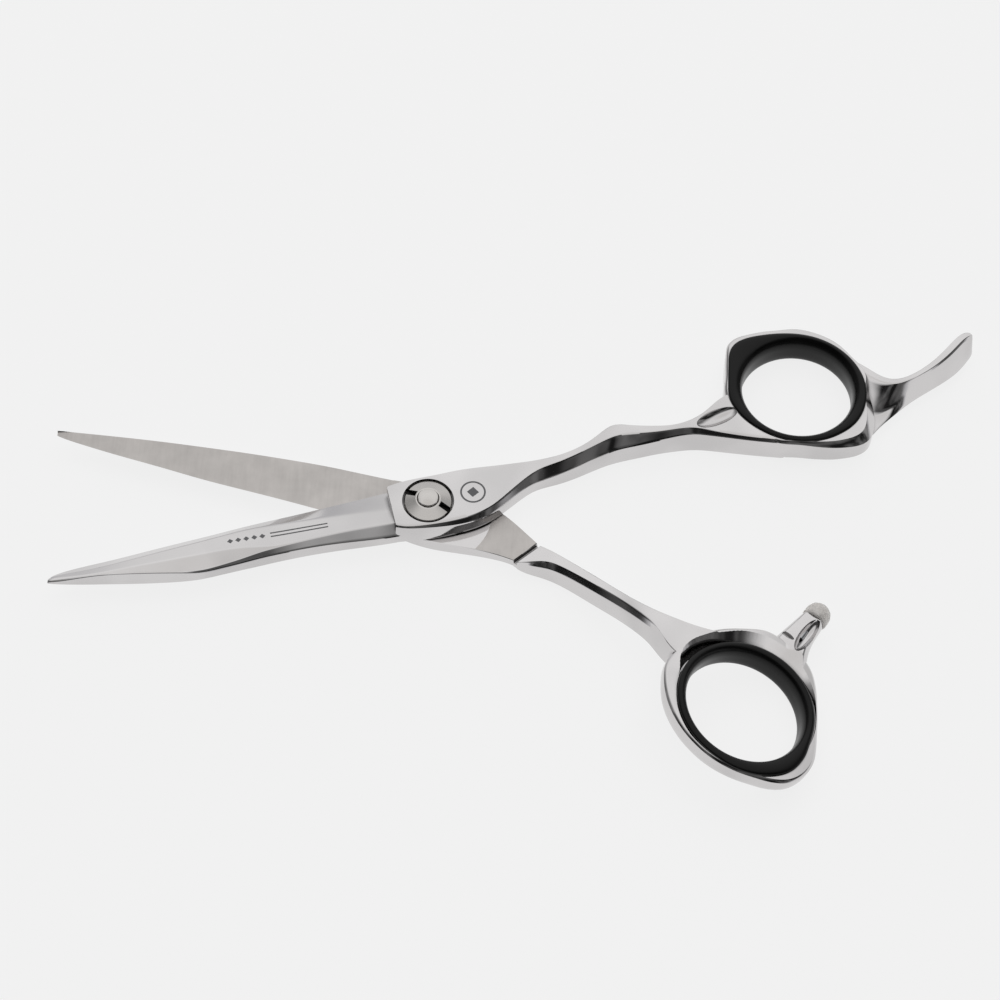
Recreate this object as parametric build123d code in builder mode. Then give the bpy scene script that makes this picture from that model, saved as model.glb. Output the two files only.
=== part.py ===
"""Hair cutting shears, 6.0 inch class, with an offset handle, a fixed finger rest and a bearing pivot.

Frame: millimetres, +Z up. The pivot axis is Z, and the origin is the centre of the flat underside of
the pivot bolt's head, on which the shears lie. The blades point along -X and the handles along +X.
The finger half lies on top, the thumb half underneath, drawn half open.
"""
import os
from math import asin, cos, radians, sin

from build123d import *

# ---- heights through the pivot ----
back_z = 0.4                  # back of the thumb half; the bolt head stands this far proud of it
parting_z = 3.9               # plane in which the two blades meet
plateau_z = 7.4               # raised flat around the tension nut
blade_gap = 0.03              # running gap on each side of the parting plane
finger_floor = parting_z + blade_gap
thumb_ceiling = parting_z - blade_gap

# ---- pivot hardware ----
fit_gap = 0.02                # radial gap between pieces that are seated in each other
bolt_head_r = 4.4
bolt_head_top = 1.2
bolt_neck_side = 4.2          # square neck that stops the bolt turning in the thumb half
bolt_neck_top = 3.15
bolt_head_chamfer = 0.25
bolt_shank_r = 2.0
bolt_button_r = 1.9
bolt_button_base = 8.1
button_flare = 0.2            # height over which the shank narrows to the button
bolt_top = 8.9
button_rise = 0.5             # height of the button's dome
bush_r = 2.7
bush_bore_r = 2.05
nut_recess_r = 4.75
nut_recess_floor = 5.7
nut_r = 4.35
nut_base = 6.45
nut_rim_top = 7.5
nut_crown_top = 8.1
nut_crown_r = 2.5
nut_bore_r = 2.05
nut_slot_width = 1.1
nut_slot_depth = 0.55
nut_edge = 0.15               # broken edges of the skirt
slot_line_angle = -24.0       # line through the two key slots, from +X
washer_inner_r = 2.35
thrust_washer_r = 4.4
thrust_washer_t = 0.3
spring_r = 4.1
spring_t = 0.2
spring_dish = 0.2             # height of the dished spring's inner rim over its outer rim
bearing_inner_r = 2.9
bearing_outer_r = 4.7
bearing_pitch_r = 3.8
bearing_pocket_depth = 0.7
race_t = 0.18
ball_r = 0.5
ball_count = 12
cage_t = 0.5
cage_rim = 0.15

# ---- finger ring and its insert ----
finger_ring_x, finger_ring_y = 68.3, 29.5
finger_ring_r = 13.9
finger_seat_r = 11.7
finger_hole_r = 10.4
ring_floor = 1.2
ring_top = 6.6
corner_x, corner_y = 57.6, 39.2     # centre of the rounded corner at the ring's forward end
corner_r = 2.6
corner_outer_r = 3.0
corner_wall = 1.5
flange_reach = 0.9
flange_t = 0.6
lip_fillet = 1.1

# ---- thumb ring and its insert, in a plane that leans towards +X ----
thumb_ring_centre = (57.05, -40.1, 6.0)
thumb_lean = radians(15.0)
thumb_lean_heading = radians(10.0)
thumb_ring_r = 14.5
thumb_ring_half_t = 2.0
thumb_seat_r = 12.0
thumb_hole_r = 10.8
thumb_insert_half_t = 2.6
flange_gap = 0.2              # room round the flange in its dished pocket

# ---- bumper between the rings ----
bumper_x, bumper_y, bumper_z = 70.8, -19.3, 4.6
bumper_heading = 56.0         # from +X
bumper_r = 2.3
stalk_floor = 2.5
stalk_top = 6.4
stalk_end = 1.5               # distance from the stalk's end face to the dome's centre
stud_r = 0.9
stud_head_r = 1.3
stud_length = 4.5
stud_hole_spare = 0.1         # how far the hole runs past the stud
stalk_trim_side = 30.0
stalk_trim_depth = 6.0

# ---- finger rest ----
rest_inset = 0.2              # the rest is this much thinner than the ring on each face
clear_reach = 12.0            # length of a cut that only has to pass right through


def section_plane(x):
    """Plane across the shears at x: its own x runs along +Y and its own y along +Z."""
    return Plane(origin=(x, 0, 0), x_dir=(0, 1, 0), z_dir=(1, 0, 0))


def finger_blade_section(edge_y, bevel, ridge, foot, spine_y):
    """Outer face up: cutting edge, bevel line, ridge, foot of the fuller, and the spine."""
    return [(edge_y, finger_floor), bevel, ridge, foot, (spine_y, finger_floor)]


def shank_section(far_y, near_top_y, near_y, top, floor, band=1.6):
    """Flat top, a sloping band down to the near wall, and a flat floor."""
    return [(far_y, floor), (far_y, top), (near_top_y, top), (near_y, top - band), (near_y, floor)]


def thumb_blade_section(edge_y, bevel, belly, spine_y):
    """Outer face down: cutting edge, bevel line, belly and the spine, with the inner face on top."""
    return [(edge_y, thumb_ceiling), bevel, belly, (spine_y, belly[1] + 0.5), (spine_y, thumb_ceiling)]


# Finger blade, tip to pivot: x and the outline of its cross-section.
finger_blade = [
    (-67.6, finger_blade_section(-18.1, (-18.3, 4.3), (-18.7, 4.4), (-19.0, 4.3), -19.1)),
    (-62.0, finger_blade_section(-15.7, (-16.7, 4.7), (-18.0, 5.0), (-18.6, 4.8), -19.1)),
    (-45.0, finger_blade_section(-9.5, (-11.2, 5.3), (-13.7, 6.0), (-16.7, 5.4), -17.9)),
    (-28.0, finger_blade_section(-3.3, (-5.3, 5.5), (-10.8, 6.5), (-12.1, 5.7), -12.9)),
    (-6.0, finger_blade_section(4.2, (-1.0, 6.2), (-4.8, 6.9), (-7.6, 5.9), -7.7)),
]

# Finger half behind its blade: plateau, waist, hump and neck of the ring.
finger_shank = [
    (-7.9, shank_section(2.9, -4.9, -7.4, plateau_z, finger_floor)),
    (-4.0, shank_section(4.4, -5.8, -7.0, plateau_z, finger_floor, 1.0)),
    (1.0, shank_section(5.8, -5.3, -6.3, plateau_z, finger_floor, 1.0)),
    (9.0, shank_section(7.9, -2.4, -3.3, plateau_z, finger_floor, 1.2)),
    (15.0, shank_section(9.0, 3.0, 1.3, plateau_z, finger_floor)),
    (20.0, shank_section(10.1, 8.0, 5.6, plateau_z, finger_floor)),
    (27.6, shank_section(13.5, 12.2, 9.9, 7.2, 2.4, 2.0)),
    (33.7, shank_section(18.9, 16.3, 13.6, 7.0, 1.7, 2.0)),
    (42.0, shank_section(19.3, 18.0, 16.4, 6.6, 1.3)),
    (50.0, shank_section(22.5, 19.0, 17.8, 6.6, ring_floor)),
    (57.0, shank_section(28.0, 18.4, 17.4, 6.6, ring_floor)),
    (68.0, shank_section(28.0, 17.6, 16.9, 6.6, ring_floor)),
]

# Thumb blade, tip to pivot.
thumb_blade = [
    (-69.8, thumb_blade_section(13.1, (13.3, 3.4), (13.6, 3.3), 13.9)),
    (-64.0, thumb_blade_section(10.9, (11.6, 2.9), (12.8, 2.6), 14.0)),
    (-45.0, thumb_blade_section(5.6, (7.2, 2.4), (10.0, 1.7), 12.4)),
    (-27.0, thumb_blade_section(1.1, (2.9, 2.1), (6.6, 1.2), 10.2)),
    (-8.0, thumb_blade_section(-4.0, (0.0, 1.2), (2.0, back_z), 6.8)),
]

# Thumb half behind its blade: the shank climbs to the leaning ring.
thumb_shank = [
    (-8.2, shank_section(6.8, -3.8, -4.0, thumb_ceiling, back_z, 1.0)),
    (0.0, shank_section(5.9, -5.6, -5.8, thumb_ceiling, back_z, 1.0)),
    (10.0, shank_section(2.8, -7.6, -7.9, thumb_ceiling, back_z, 1.0)),
    (14.0, shank_section(0.2, -8.2, -8.6, thumb_ceiling, back_z, 1.0)),
    (20.0, shank_section(-5.8, -9.6, -10.4, thumb_ceiling, back_z, 1.0)),
    (31.0, shank_section(-14.1, -15.8, -16.9, 6.5, 1.3)),
    (38.0, shank_section(-19.9, -21.8, -22.8, 8.7, 3.2)),
    (44.0, shank_section(-24.2, -28.0, -29.5, 10.5, 5.6)),
    (51.0, shank_section(-26.6, -34.0, -36.0, 9.6, 5.6)),
]

# Outline of the finger rest: far edge, rounded tip, near edge and root inside the ring's wall.
rest_far_edge = [(76.0, 38.0), (82.4, 34.1), (88.8, 33.0), (94.9, 37.8), (99.4, 43.8)]
rest_tip = [(99.4, 43.8), (101.9, 44.0), (102.3, 41.6)]
rest_near_edge = [(102.3, 41.6), (96.6, 35.2), (89.6, 29.9), (84.1, 24.5), (81.2, 19.2)]
rest_root = [(81.2, 19.2), (75.5, 17.3), (68.0, 17.0)]

# Outline of the bumper's stalk, before its end is trimmed square.
stalk_outline = [(60.5, -27.4), (69.5, -18.2), (73.4, -20.0), (70.3, -27.4), (70.3, -34.0)]

thumb_axis = Vector(
    sin(thumb_lean) * cos(thumb_lean_heading), sin(thumb_lean) * sin(thumb_lean_heading), cos(thumb_lean)
)
thumb_plane = Plane(origin=thumb_ring_centre, x_dir=Vector(0, 1, 0).cross(thumb_axis), z_dir=thumb_axis)
bumper_dir = Vector(cos(radians(bumper_heading)), sin(radians(bumper_heading)), 0)
bumper_centre = Vector(bumper_x, bumper_y, bumper_z)
bumper_plane = Plane(origin=bumper_centre, x_dir=(0, 0, 1), z_dir=bumper_dir)

os.makedirs("parts", exist_ok=True)


def save(builder, name):
    """Label a finished piece and write it as its own STEP file."""
    builder.part.label = name
    export_step(builder.part, f"parts/{name}.step")


def ring_outline(radius, corner_radius):
    """Round ring with one blunt corner at its forward, far end."""
    with BuildSketch() as outline:
        with Locations((finger_ring_x, finger_ring_y)):
            Circle(radius)
        with Locations((corner_x, corner_y)):
            Circle(corner_radius)
        make_hull()
    return outline.sketch


# ---- finger half: blade, plateau, shank, ring and finger rest in one forging ----
with BuildPart() as finger_half:
    for x, outline in finger_blade:
        with BuildSketch(section_plane(x)):
            Polygon(*outline, align=None)
    loft(ruled=True)
    for x, outline in finger_shank:
        with BuildSketch(section_plane(x)):
            Polygon(*outline, align=None)
    loft(ruled=True)
    with BuildSketch(Plane.XY.offset(ring_floor)):
        add(ring_outline(finger_ring_r, corner_outer_r))
    extrude(amount=ring_top - ring_floor)
    # the finger rest sweeps back and away from the ring
    with BuildSketch(Plane.XY.offset(ring_floor + rest_inset)):
        with BuildLine():
            Spline(*rest_far_edge)
            ThreePointArc(*rest_tip)
            Spline(*rest_near_edge)
            Spline(*rest_root)
            Line(rest_root[-1], rest_far_edge[0])
        make_face()
    extrude(amount=ring_top - ring_floor - 2 * rest_inset)
    # seat of the insert
    with BuildSketch(Plane.XY):
        add(ring_outline(finger_seat_r, corner_r - corner_wall))
    extrude(amount=plateau_z, mode=Mode.SUBTRACT)
    # bore for the bush, recess for the nut above, pocket for the bearing below
    with BuildSketch(Plane.XY.offset(parting_z)):
        Circle(bush_r)
    extrude(amount=plateau_z - back_z, mode=Mode.SUBTRACT)
    with BuildSketch(Plane.XY.offset(nut_recess_floor)):
        Circle(nut_recess_r)
    extrude(amount=plateau_z - back_z, mode=Mode.SUBTRACT)
    with BuildSketch(Plane.XY.offset(parting_z)):
        Circle(bearing_outer_r)
    extrude(amount=bearing_pocket_depth, mode=Mode.SUBTRACT)
save(finger_half, "finger_half")

# ---- thumb half: blade, shank, leaning ring and bumper stalk in one forging ----
with BuildPart() as thumb_half:
    for x, outline in thumb_blade:
        with BuildSketch(section_plane(x)):
            Polygon(*outline, align=None)
    loft(ruled=True)
    for x, outline in thumb_shank:
        with BuildSketch(section_plane(x)):
            Polygon(*outline, align=None)
    loft(ruled=True)
    with BuildSketch(thumb_plane.offset(-thumb_ring_half_t)):
        Circle(thumb_ring_r)
    extrude(amount=2 * thumb_ring_half_t)
    # the stalk tapers from the ring to the bumper
    with BuildSketch(Plane.XY.offset(stalk_floor)):
        with BuildLine():
            Polyline(*stalk_outline, close=True)
        make_face()
    extrude(amount=stalk_top - stalk_floor)
    # the end of the stalk is square to the bumper, with a hole for its stud
    with BuildSketch(bumper_plane.offset(-stalk_end)):
        Rectangle(stalk_trim_side, stalk_trim_side)
    extrude(amount=stalk_trim_depth, mode=Mode.SUBTRACT)
    with BuildSketch(bumper_plane.offset(-stalk_end)):
        Circle(stud_r + fit_gap)
    extrude(amount=-stud_length, mode=Mode.SUBTRACT)
    # seat of the insert, and the dished pocket above its flange
    with BuildSketch(thumb_plane.offset(-clear_reach)):
        Circle(thumb_seat_r)
    extrude(amount=2 * clear_reach, mode=Mode.SUBTRACT)
    with BuildSketch(thumb_plane.offset(thumb_ring_half_t)):
        Circle(thumb_seat_r + flange_reach + flange_gap)
    extrude(amount=clear_reach, mode=Mode.SUBTRACT)
    with BuildSketch(thumb_plane.offset(-thumb_ring_half_t)):
        Circle(thumb_seat_r + flange_reach + flange_gap)
    extrude(amount=-clear_reach, mode=Mode.SUBTRACT)
    # square hole and head recess for the bolt, pocket for the bearing
    with BuildSketch(Plane.XY):
        Rectangle(bolt_neck_side + 2 * fit_gap, bolt_neck_side + 2 * fit_gap)
    extrude(amount=plateau_z, mode=Mode.SUBTRACT)
    with BuildSketch(Plane.XY):
        Circle(bolt_head_r + fit_gap)
    extrude(amount=bolt_head_top + fit_gap, mode=Mode.SUBTRACT)
    with BuildSketch(Plane.XY.offset(parting_z)):
        Circle(bearing_outer_r)
    extrude(amount=-bearing_pocket_depth, mode=Mode.SUBTRACT)
save(thumb_half, "thumb_half")

# ---- polymer insert of the finger ring: a sleeve with a flange over each face of the ring ----
with BuildPart() as finger_insert:
    with BuildSketch(Plane.XY.offset(ring_floor - flange_t)):
        add(ring_outline(finger_seat_r - fit_gap, corner_r - corner_wall - fit_gap))
    extrude(amount=ring_top - ring_floor + 2 * flange_t)
    for base in (ring_floor - flange_t, ring_top):
        with BuildSketch(Plane.XY.offset(base)):
            add(ring_outline(finger_seat_r + flange_reach, corner_r - corner_wall + flange_reach))
        extrude(amount=flange_t)
    with BuildSketch(Plane.XY):
        with Locations((finger_ring_x, finger_ring_y)):
            Circle(finger_hole_r)
    extrude(amount=clear_reach, mode=Mode.SUBTRACT)
    rims = finger_insert.edges().filter_by(GeomType.CIRCLE).filter_by(lambda e: e.radius == finger_hole_r)
    fillet(rims, radius=lip_fillet)
save(finger_insert, "finger_insert")

# ---- polymer insert of the thumb ring ----
with BuildPart() as thumb_insert:
    with BuildSketch(thumb_plane.offset(-thumb_insert_half_t)):
        Circle(thumb_seat_r - fit_gap)
    extrude(amount=2 * thumb_insert_half_t)
    for base in (-thumb_insert_half_t, thumb_ring_half_t):
        with BuildSketch(thumb_plane.offset(base)):
            Circle(thumb_seat_r + flange_reach)
        extrude(amount=thumb_insert_half_t - thumb_ring_half_t)
    with BuildSketch(thumb_plane.offset(-2 * thumb_insert_half_t)):
        Circle(thumb_hole_r)
    extrude(amount=4 * thumb_insert_half_t, mode=Mode.SUBTRACT)
    rims = thumb_insert.edges().filter_by(GeomType.CIRCLE).filter_by(lambda e: e.radius == thumb_hole_r)
    fillet(rims, radius=lip_fillet)
save(thumb_insert, "thumb_insert")

# ---- bumper: a soft dome pressed over a steel stud ----
with BuildPart() as bumper_stud:
    with BuildSketch(bumper_plane.offset(-stalk_end)):
        Circle(stud_head_r)
    extrude(amount=stalk_end)
    with BuildSketch(bumper_plane.offset(-stalk_end)):
        Circle(stud_r)
    extrude(amount=stud_hole_spare - stud_length)
save(bumper_stud, "bumper_stud")

with BuildPart() as bumper_pad:
    with BuildSketch(bumper_plane.offset(-stalk_end + fit_gap)):
        Circle(bumper_r)
    extrude(amount=stalk_end - fit_gap)
    with Locations(bumper_plane):
        Sphere(bumper_r)
    with BuildSketch(bumper_plane.offset(-stalk_end + fit_gap)):
        Rectangle(stalk_trim_side, stalk_trim_side)
    extrude(amount=-stalk_trim_depth, mode=Mode.SUBTRACT)
    with BuildSketch(bumper_plane.offset(-stalk_end)):
        Circle(stud_head_r + fit_gap)
    extrude(amount=stalk_end + fit_gap, mode=Mode.SUBTRACT)
save(bumper_pad, "bumper_pad")

# ---- pivot bolt: flat head at the back, square neck, round shank and domed button on top ----
dome_r = (bolt_button_r ** 2 + button_rise ** 2) / (2 * button_rise)
dome_half_angle = asin(bolt_button_r / dome_r) / 2
button_middle = (dome_r * sin(dome_half_angle), bolt_top - dome_r * (1 - cos(dome_half_angle)))
with BuildPart() as pivot_bolt:
    with BuildSketch(Plane.XY):
        Circle(bolt_head_r)
    extrude(amount=bolt_head_top)
    chamfer(pivot_bolt.edges().group_by(Axis.Z)[0], length=bolt_head_chamfer)
    with BuildSketch(Plane.XY.offset(bolt_head_top)):
        Rectangle(bolt_neck_side, bolt_neck_side)
    extrude(amount=bolt_neck_top - bolt_head_top)
    with BuildSketch(Plane.XZ):
        with BuildLine():
            Polyline(
                (0, bolt_top), (0, bolt_neck_top - 1), (bolt_shank_r, bolt_neck_top - 1),
                (bolt_shank_r, bolt_button_base - button_flare), (bolt_button_r, bolt_button_base),
                (bolt_button_r, bolt_top - button_rise),
            )
            ThreePointArc((bolt_button_r, bolt_top - button_rise), button_middle, (0, bolt_top))
        make_face()
    revolve(axis=Axis.Z)
save(pivot_bolt, "pivot_bolt")

# ---- bush in the finger half, on which the bolt turns ----
with BuildPart() as pivot_bush:
    with BuildSketch(Plane.XY.offset(parting_z)):
        Circle(bush_r - fit_gap)
        Circle(bush_bore_r, mode=Mode.SUBTRACT)
    extrude(amount=nut_recess_floor - parting_z)
save(pivot_bush, "pivot_bush")

# ---- thrust washer on the recess floor, and the dished spring that loads the nut ----
with BuildPart() as thrust_washer:
    with BuildSketch(Plane.XY.offset(nut_recess_floor)):
        Circle(thrust_washer_r)
        Circle(washer_inner_r, mode=Mode.SUBTRACT)
    extrude(amount=thrust_washer_t)
save(thrust_washer, "thrust_washer")

spring_base = nut_recess_floor + thrust_washer_t + fit_gap
with BuildPart() as disc_spring:
    with BuildSketch(Plane.XZ):
        Polygon(
            (spring_r, spring_base), (spring_r, spring_base + spring_t),
            (washer_inner_r, spring_base + spring_t + spring_dish), (washer_inner_r, spring_base + spring_dish),
            align=None,
        )
    revolve(axis=Axis.Z)
save(disc_spring, "disc_spring")

# ---- tension nut: flat skirt, conical face and two key slots ----
with BuildPart() as tension_nut:
    with BuildSketch(Plane.XZ):
        Polygon(
            (nut_bore_r, nut_base), (nut_r - nut_edge, nut_base), (nut_r, nut_base + nut_edge),
            (nut_r, nut_rim_top - nut_edge), (nut_r - nut_edge, nut_rim_top),
            (nut_crown_r, nut_crown_top), (nut_bore_r, nut_crown_top), align=None,
        )
    revolve(axis=Axis.Z)
    with BuildSketch(Plane.XY.offset(nut_rim_top - nut_slot_depth)):
        with Locations(Location((0, 0), slot_line_angle)):
            with GridLocations(2 * nut_r, 1, 2, 1):
                Rectangle(2 * (nut_r - nut_crown_r), nut_slot_width)
    extrude(amount=clear_reach, mode=Mode.SUBTRACT)
save(tension_nut, "tension_nut")

# ---- bearing between the halves: two hardened races, a cage and its balls ----
pocket_floor = parting_z - bearing_pocket_depth
pocket_ceiling = parting_z + bearing_pocket_depth
for name, base in (("lower_race", pocket_floor), ("upper_race", pocket_ceiling - race_t)):
    with BuildPart() as race:
        with BuildSketch(Plane.XY.offset(base)):
            Circle(bearing_outer_r - fit_gap)
            Circle(bearing_inner_r, mode=Mode.SUBTRACT)
        extrude(amount=race_t)
    save(race, name)

with BuildPart() as ball_cage:
    with BuildSketch(Plane.XY.offset(parting_z - cage_t / 2)):
        Circle(bearing_outer_r - cage_rim)
        Circle(bearing_inner_r + fit_gap, mode=Mode.SUBTRACT)
        with PolarLocations(bearing_pitch_r, ball_count):
            Circle(ball_r + 2 * fit_gap, mode=Mode.SUBTRACT)
    extrude(amount=cage_t)
save(ball_cage, "ball_cage")

with BuildPart() as bearing_balls:
    with Locations(Plane.XY.offset(parting_z)):
        with PolarLocations(bearing_pitch_r, ball_count):
            Sphere(ball_r)
save(bearing_balls, "bearing_balls")
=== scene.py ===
from math import acos, atan2, cos, degrees, pi, radians, sin

import bmesh
import bpy
from mathutils import Matrix, Vector


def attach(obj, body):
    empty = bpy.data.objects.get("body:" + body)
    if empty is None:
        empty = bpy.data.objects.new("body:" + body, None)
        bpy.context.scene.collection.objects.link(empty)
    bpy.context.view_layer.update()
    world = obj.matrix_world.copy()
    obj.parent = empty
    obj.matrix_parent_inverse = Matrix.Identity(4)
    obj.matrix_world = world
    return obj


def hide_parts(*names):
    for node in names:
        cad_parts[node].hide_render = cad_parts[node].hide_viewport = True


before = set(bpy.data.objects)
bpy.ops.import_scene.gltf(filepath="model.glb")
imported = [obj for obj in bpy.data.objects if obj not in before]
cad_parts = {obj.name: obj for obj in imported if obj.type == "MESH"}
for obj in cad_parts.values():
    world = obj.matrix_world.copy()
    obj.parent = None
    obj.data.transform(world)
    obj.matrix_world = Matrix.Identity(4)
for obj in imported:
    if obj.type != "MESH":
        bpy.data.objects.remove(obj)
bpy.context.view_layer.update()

# ---------------------------------------------------------------------------------------------
# Studio: the shears lie on a pale light table, seen from 57 degrees above the front with a long
# lens. The room is bright above and behind, and dark in front and at both sides.
# ---------------------------------------------------------------------------------------------
MM = 0.001
LOOK_AT = Vector((13.1, 3.0, 4.0)) * MM
VIEW_HEIGHT = radians(57.0)
VIEW_ROLL = radians(2.5)
VIEW_DISTANCE = 511.2 * MM

camera_data = bpy.data.cameras.new("camera")
camera_data.lens = 100.0
camera_data.sensor_width = 36.0
camera_data.clip_start = 0.02
camera_data.clip_end = 20.0
camera = bpy.data.objects.new("camera", camera_data)
bpy.context.scene.collection.objects.link(camera)
back = Vector((0.0, -cos(VIEW_HEIGHT), sin(VIEW_HEIGHT)))
tilt = Matrix.Rotation(pi / 2 - VIEW_HEIGHT, 4, "X") @ Matrix.Rotation(VIEW_ROLL, 4, "Z")
camera.matrix_world = Matrix.Translation(LOOK_AT + back * VIEW_DISTANCE) @ tilt
bpy.context.scene.camera = camera
bpy.context.scene.view_settings.view_transform = "Standard"


def linear(code):
    """Linear colour with alpha 1 from an sRGB hex code."""
    parts = [int(code[i:i + 2], 16) / 255 for i in (1, 3, 5)]
    return tuple(c / 12.92 if c <= 0.04045 else ((c + 0.055) / 1.055) ** 2.4 for c in parts) + (1.0,)


def add_node(tree, kind, inputs=None, **settings):
    """One node with its settings, its input values, and links where an input is another node's socket."""
    node = tree.nodes.new(kind)
    for name, value in settings.items():
        setattr(node, name, value)
    for name, value in (inputs or {}).items():
        if isinstance(value, bpy.types.NodeSocket):
            tree.links.new(value, node.inputs[name])
        else:
            node.inputs[name].default_value = value
    return node


# table: opal acrylic sheet lit from underneath, so that the shears throw hardly any shadow
opal = bpy.data.materials.new("opal_acrylic_light_table")
opal.use_nodes = True
shader = opal.node_tree.nodes["Principled BSDF"]
shader.inputs["Base Color"].default_value = linear("#595959")
shader.inputs["Roughness"].default_value = 1.0
shader.inputs["Specular IOR Level"].default_value = 0.0
shader.inputs["Emission Color"].default_value = linear("#FFFFFF")
shader.inputs["Emission Strength"].default_value = 0.815
TABLE_REACH = 3.0
TABLE_DROP = 0.1 * MM
table_mesh = bpy.data.meshes.new("table_top")
sheet = bmesh.new()
bmesh.ops.create_grid(sheet, x_segments=1, y_segments=1, size=TABLE_REACH)
bmesh.ops.translate(sheet, vec=(0, 0, -TABLE_DROP), verts=sheet.verts)
sheet.to_mesh(table_mesh)
sheet.free()
table_top = bpy.data.objects.new("table_top", table_mesh)
table_mesh.materials.append(opal)
bpy.context.scene.collection.objects.link(table_top)

# room: bright overhead and behind, dark in front and at the sides, so that slopes turned there look dark
world = bpy.data.worlds.new("studio_room")
bpy.context.scene.world = world
world.use_nodes = True
tree = world.node_tree
tree.nodes.clear()
direction = add_node(tree, "ShaderNodeTexCoord").outputs["Generated"]
split = add_node(tree, "ShaderNodeSeparateXYZ", {"Vector": direction})
height = add_node(tree, "ShaderNodeValToRGB", {"Fac": split.outputs["Z"]})
ramp = height.color_ramp
ramp.elements[0].position, ramp.elements[0].color = 0.0, (0.60, 0.60, 0.62, 1)
ramp.elements[1].position, ramp.elements[1].color = 1.0, (0.84, 0.83, 0.82, 1)
for place, value in ((0.35, 0.90), (0.72, 1.0), (0.88, 0.98)):
    stop = ramp.elements.new(place)
    stop.color = (value, value, value, 1)
front_side = add_node(tree, "ShaderNodeMapRange", {
    "Value": split.outputs["Y"], "From Min": 0.22, "From Max": -0.08, "To Min": 0.0, "To Max": 1.0,
}, interpolation_type="SMOOTHSTEP")
under_lamps = add_node(tree, "ShaderNodeMapRange", {
    "Value": split.outputs["Z"], "From Min": 0.92, "From Max": 0.72, "To Min": 0.0, "To Max": 1.0,
}, interpolation_type="SMOOTHSTEP")
over_table = add_node(tree, "ShaderNodeMapRange", {
    "Value": split.outputs["Z"], "From Min": 0.02, "From Max": 0.12, "To Min": 0.0, "To Max": 1.0,
}, interpolation_type="SMOOTHSTEP")
dark_band = add_node(tree, "ShaderNodeMath", {
    0: under_lamps.outputs["Result"], 1: over_table.outputs["Result"],
}, operation="MULTIPLY")
dark_front = add_node(tree, "ShaderNodeMath", {
    0: front_side.outputs["Result"], 1: dark_band.outputs["Value"],
}, operation="MULTIPLY")
sideways = add_node(tree, "ShaderNodeMath", {0: split.outputs["X"]}, operation="ABSOLUTE")
side_walls = add_node(tree, "ShaderNodeMapRange", {
    "Value": sideways.outputs["Value"], "From Min": 0.42, "From Max": 0.78, "To Min": 0.0, "To Max": 0.80,
}, interpolation_type="SMOOTHSTEP")
dark_sides = add_node(tree, "ShaderNodeMath", {
    0: side_walls.outputs["Result"], 1: over_table.outputs["Result"],
}, operation="MULTIPLY")
shade = add_node(tree, "ShaderNodeMath", {
    0: dark_front.outputs["Value"], 1: dark_sides.outputs["Value"],
}, operation="MAXIMUM")
# furniture and clothes in the dark part are vague shapes of dark and middle grey
shapes = add_node(tree, "ShaderNodeTexNoise", {"Vector": direction, "Scale": 3.5, "Detail": 2.0})
dim = add_node(tree, "ShaderNodeMapRange", {
    "Value": shapes.outputs["Fac"], "From Min": 0.42, "From Max": 0.66, "To Min": 0.012, "To Max": 0.17,
})
room = add_node(tree, "ShaderNodeMix", {
    "Factor": shade.outputs["Value"], "A": height.outputs["Color"], "B": dim.outputs["Result"],
}, data_type="RGBA")
glow = add_node(tree, "ShaderNodeBackground", {"Color": room.outputs["Result"], "Strength": 1.0})
add_node(tree, "ShaderNodeOutputWorld", {"Surface": glow.outputs["Background"]})

# one wide soft box overhead, a little behind the table, which the polished steel doesn't mirror
soft_box_data = bpy.data.lights.new("soft_box", "AREA")
soft_box_data.shape = "RECTANGLE"
soft_box_data.size = 1.6
soft_box_data.size_y = 1.2
soft_box_data.energy = 3.0
soft_box = bpy.data.objects.new("soft_box", soft_box_data)
soft_box.location = (0.1, 0.5, 1.3)
soft_box.rotation_euler = (radians(-20), 0, 0)
soft_box.visible_glossy = False
bpy.context.scene.collection.objects.link(soft_box)

# ---------------------------------------------------------------------------------------------
# Finger half: one forging of stainless cutlery steel, mirror polished outside. It holds the blade
# that lies on top, the raised flat around the pivot, the shank with its thumb hump, the finger
# ring and the finger rest.
# ---------------------------------------------------------------------------------------------
FINGER_FLOOR = 3.93
PLATEAU = 7.4
RING_TOP = 6.6
RING_FLOOR = 1.2
BLADE_HOLLOW = 0.08
UP = Vector((0, 0, 1))


def forge(sections, sharp, rings=None, ends=0.0):
    """Draws one closed shell through cross-sections of equal point counts, by extruding its end face.

    sharp gives the crease of each lengthwise line, rings that of single cross-sections, and ends that
    of the two end faces.
    """
    shell = bmesh.new()
    line = shell.verts.layers.int.new("line")
    row = shell.verts.layers.int.new("row")
    corners = [shell.verts.new(point) for point in sections[0]]
    for index, corner in enumerate(corners):
        corner[line] = index
    cap = shell.faces.new(corners)
    for number, section in enumerate(sections[1:], 1):
        grown = bmesh.ops.extrude_face_region(shell, geom=[cap])["geom"]
        if number > 1:
            bmesh.ops.delete(shell, geom=[cap], context="FACES_ONLY")
        cap = next(g for g in grown if isinstance(g, bmesh.types.BMFace))
        for corner in cap.verts:
            corner.co = section[corner[line]]
            corner[row] = number
    crease = shell.edges.layers.float.new("crease_edge")
    last = len(sections) - 1
    for edge in shell.edges:
        a, b = edge.verts
        if a[row] != b[row]:
            edge[crease] = sharp.get(a[line], 0.0)
        elif a[row] in (0, last):
            edge[crease] = ends
        else:
            edge[crease] = (rings or {}).get(a[row], 0.0)
    bmesh.ops.recalc_face_normals(shell, faces=shell.faces)
    return shell


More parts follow.
